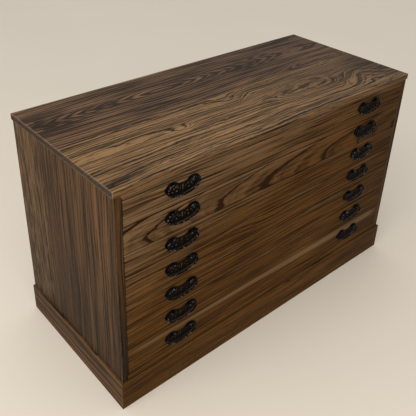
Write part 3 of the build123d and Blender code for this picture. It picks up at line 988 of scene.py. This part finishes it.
class CHEST_OT_pull_plates(bpy.types.Operator):
    """Make the pierced plates of the pulls"""

    bl_idname = "chest.pull_plates"
    bl_label = "Make the Pull Plates"

    def execute(self, context):
        model = make_plate(context.scene.chest_pulls)
        model.data.materials.append(iron_material())
        for (drawer, hand), place in pull_places().items():
            plate = set_in_place(model, f"{drawer}_{hand}_plate", place)
            bpy.ops.object.shade_smooth_by_angle(angle=PLATE_SMOOTH)
            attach(plate, drawer)
            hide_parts(f"{drawer}_pull_plates")
        bpy.data.objects.remove(model)
        return {"FINISHED"}


def make_clinch(sizes):
    """A post's shank through the front, with its two legs bent flat behind it."""
    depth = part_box("drawer_1_front")[1].y - FRONT_Y
    wide, high, bend, leg, tip = 3.4 * MM, 3.0 * MM, 1.15 * MM, 3.4 * MM, 2.6 * MM
    deselect_all()
    bpy.ops.mesh.primitive_cube_add(size=1, location=(0, 0, (sizes.plate - depth) / 2))
    clinch = bpy.context.object
    clinch.scale = (wide, high, depth + sizes.plate)
    take(clinch)
    bpy.ops.object.transform_apply(location=True, scale=True)
    bpy.ops.object.mode_set(mode="EDIT")
    select_end(clinch, -depth)
    bpy.ops.mesh.extrude_region_move(TRANSFORM_OT_translate={"value": (0, 0, -bend)})
    bpy.ops.object.mode_set(mode="OBJECT")
    for face in clinch.data.polygons:
        face.select = abs(face.normal.x) > FACING and face.center.z < -depth
    bpy.ops.object.mode_set(mode="EDIT")
    for reach in (leg, tip):
        bpy.ops.mesh.extrude_faces_move(TRANSFORM_OT_shrink_fatten={"value": reach})
    bpy.ops.transform.resize(value=(1, 0.55, 0.6))
    bpy.ops.object.mode_set(mode="OBJECT")
    return clinch


class CHEST_OT_posts(bpy.types.Operator):
    """Make the posts that hold the bails"""

    bl_idname = "chest.posts"
    bl_label = "Make the Posts"

    def execute(self, context):
        sizes = context.scene.chest_pulls
        post = make_post(sizes)
        clinch = make_clinch(sizes)
        take(clinch)
        post.select_set(True)
        bpy.context.view_layer.objects.active = post
        bpy.ops.object.join()
        post.data.materials.append(iron_material())
        for (drawer, hand), place in pull_places().items():
            for end, side in (("outer", -1), ("inner", 1)):
                offset = (side * sizes.post_offset, sizes.post_rise)
                copy = set_in_place(post, f"{drawer}_{hand}_post_{end}", place, offset)
                bpy.ops.object.shade_smooth_by_angle(angle=POST_SMOOTH)
                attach(copy, drawer)
                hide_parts(f"{drawer}_pull_plates")
        bpy.data.objects.remove(post)
        return {"FINISHED"}


def make_bail(sizes):
    """A bail: one round bar that runs level out of each post's eye, over a shoulder and down."""
    offset, rise, half = sizes.post_offset, sizes.post_rise, sizes.bail_half
    waist = rise - 0.42 * (rise + sizes.bail_drop)
    inner = offset - sizes.post_radius - 0.7 * MM
    outer = offset + sizes.post_radius + 0.9 * MM
    round_share = 0.5523  # a handle's length for a quarter circle, as a share of its radius
    top_pull = round_share * (half - outer)
    fall_pull = round_share * (rise - waist)
    low_pull = round_share * (waist + sizes.bail_drop)
    knots = [
        ((inner, rise), (inner, rise), (outer - 2 * MM, rise), 0.86),
        ((outer, rise), (outer - 2 * MM, rise), (outer + top_pull, rise), 0.92),
        ((half, waist), (half, waist + fall_pull), (half, waist - low_pull), 1.0),
    ]
    drop, side_pull = -sizes.bail_drop, round_share * half
    bottom = ((0.0, drop), (side_pull, drop), (-side_pull, drop), 1.06)
    left = [((-c[0], c[1]), (-b[0], b[1]), (-a[0], a[1]), r) for c, a, b, r in reversed(knots)]
    path = knots + [bottom] + left
    deselect_all()
    bpy.ops.curve.primitive_bezier_curve_add(radius=10 * MM, enter_editmode=True)
    bpy.ops.curve.subdivide(number_cuts=len(path) - 2)
    bpy.ops.object.mode_set(mode="OBJECT")
    bail = bpy.context.object
    for knot, (place, before, after, thickness) in zip(bail.data.splines[0].bezier_points, path):
        knot.handle_left_type = knot.handle_right_type = "FREE"
        knot.co = (*place, sizes.axis_out)
        knot.handle_left = (*before, sizes.axis_out)
        knot.handle_right = (*after, sizes.axis_out)
        knot.radius = thickness
    bail.data.resolution_u = 9
    bail.data.bevel_depth = sizes.bar_radius
    bail.data.bevel_resolution = 4
    bail.data.use_fill_caps = True
    weld(bail)
    bpy.ops.object.mode_set(mode="OBJECT")
    return bail


class CHEST_OT_bails(bpy.types.Operator):
    """Make the fourteen bails"""

    bl_idname = "chest.bails"
    bl_label = "Make the Bails"

    def execute(self, context):
        model = make_bail(context.scene.chest_pulls)
        model.data.materials.append(iron_material())
        for (drawer, hand), place in pull_places().items():
            body = f"{drawer}_{hand}_bail"
            bail = set_in_place(model, f"{body}_bar", place)
            bpy.ops.object.shade_smooth_by_angle(angle=BAIL_SMOOTH)
            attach(bail, body)
            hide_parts(body)
        bpy.data.objects.remove(model)
        return {"FINISHED"}


# Stage

def plain_floor(stage):
    """A plain pale floor with faint clouds."""
    material, shader, place = new_material("pale_floor")
    clouds = noise(scaled(place, 1.2))
    feed(shader["Base Color"], scaled(tuple(stage.floor), clouds * 0.06 + 0.97))
    feed(shader["Roughness"], 0.7)
    return material


def soft_lamp(name, place, target, size, power, tint):
    """A large soft lamp that looks at a point."""
    data = bpy.data.lights.new(name, "AREA")
    data.shape = "RECTANGLE"
    data.size, data.size_y = size
    data.energy = power
    data.color = tint
    lamp = bpy.data.objects.new(name, data)
    bpy.context.scene.collection.objects.link(lamp)
    lamp.location = place
    lamp.rotation_euler = (Vector(target) - Vector(place)).to_track_quat("-Z", "Y").to_euler()


class CHEST_OT_stage(bpy.types.Operator):
    """Set the floor, the lamps and the camera"""

    bl_idname = "chest.stage"
    bl_label = "Set the Stage"

    def execute(self, context):
        scene = context.scene
        stage = scene.chest_stage
        deselect_all()
        bpy.ops.mesh.primitive_plane_add(size=30, location=(0, 0, 0))
        floor = context.object
        floor.name = "floor"
        floor.data.materials.append(plain_floor(stage))
        world = bpy.data.worlds.new("even_light")
        scene.world = world
        world.use_nodes = True
        backdrop = world.node_tree.nodes["Background"]
        backdrop.inputs["Color"].default_value = (1.0, 0.985, 0.96, 1.0)
        backdrop.inputs["Strength"].default_value = stage.sky
        soft_lamp(
            "key", place=(-2.0, -0.5, 2.2), target=(0, 0, 0.4), size=(2.0, 1.4), power=stage.key,
            tint=(1.0, 0.975, 0.94),
        )
        soft_lamp(
            "fill", place=(-1.3, -2.3, 1.5), target=(-0.1, 0, 0.4), size=(1.6, 1.2), power=stage.fill,
            tint=(1.0, 0.96, 0.90),
        )
        self.set_camera(scene, stage)
        scene.view_settings.view_transform = "Standard"
        return {"FINISHED"}

    def set_camera(self, scene, stage):
        azimuth, elevation, roll = stage.azimuth, stage.elevation, stage.roll
        level = math.cos(elevation)
        back = Vector((level * math.sin(azimuth), -level * math.cos(azimuth), math.sin(elevation)))
        right = Vector((0, 0, 1)).cross(back).normalized()
        up = back.cross(right)
        turned_right = math.cos(roll) * right + math.sin(roll) * up
        turned_up = -math.sin(roll) * right + math.cos(roll) * up
        data = bpy.data.cameras.new("camera")
        camera = bpy.data.objects.new("camera", data)
        scene.collection.objects.link(camera)
        data.sensor_width = 36.0
        data.lens = 52.0
        data.shift_x = 0.0233
        data.shift_y = -0.1466
        turn = Matrix((turned_right, turned_up, back)).transposed()
        camera.matrix_world = Matrix.Translation(stage.eye) @ turn.to_4x4()
        scene.camera = camera


class CHEST_PT_panel(bpy.types.Panel):
    """Sizes, colours and steps of the chest"""

    bl_idname = "CHEST_PT_panel"
    bl_label = "Kimono Chest"
    bl_space_type = "VIEW_3D"
    bl_region_type = "UI"
    bl_category = "Kimono Chest"

    def draw(self, context):
        for attribute in SETTINGS:
            group = getattr(context.scene, attribute)
            box = self.layout.box()
            for name in group.bl_rna.properties.keys():
                if name not in ("rna_type", "name"):
                    box.prop(group, name)
        for operator in OPERATORS:
            self.layout.operator(operator.bl_idname)


OPERATORS = (
    CHEST_OT_case,
    CHEST_OT_plinth,
    CHEST_OT_drawer_fronts,
    CHEST_OT_inner_boards,
    CHEST_OT_pull_plates,
    CHEST_OT_posts,
    CHEST_OT_bails,
    CHEST_OT_stage,
)


CLASSES = (*SETTINGS.values(), *OPERATORS, CHEST_PT_panel)


def register():
    for kind in CLASSES:
        bpy.utils.register_class(kind)
    for name, group in SETTINGS.items():
        setattr(bpy.types.Scene, name, PointerProperty(type=group))


def unregister():
    for name in SETTINGS:
        delattr(bpy.types.Scene, name)
    for kind in reversed(CLASSES):
        bpy.utils.unregister_class(kind)


def main():
    register()
    make_growth_rings()
    make_grain_swell()
    make_fibre()
    make_edge_wear()
    make_stained_wood()
    bpy.ops.chest.stage()
    bpy.ops.chest.case()
    bpy.ops.chest.plinth()
    bpy.ops.chest.drawer_fronts()
    bpy.ops.chest.inner_boards()
    bpy.ops.chest.pull_plates()
    bpy.ops.chest.posts()
    bpy.ops.chest.bails()


if __name__ == "__main__":
    main()
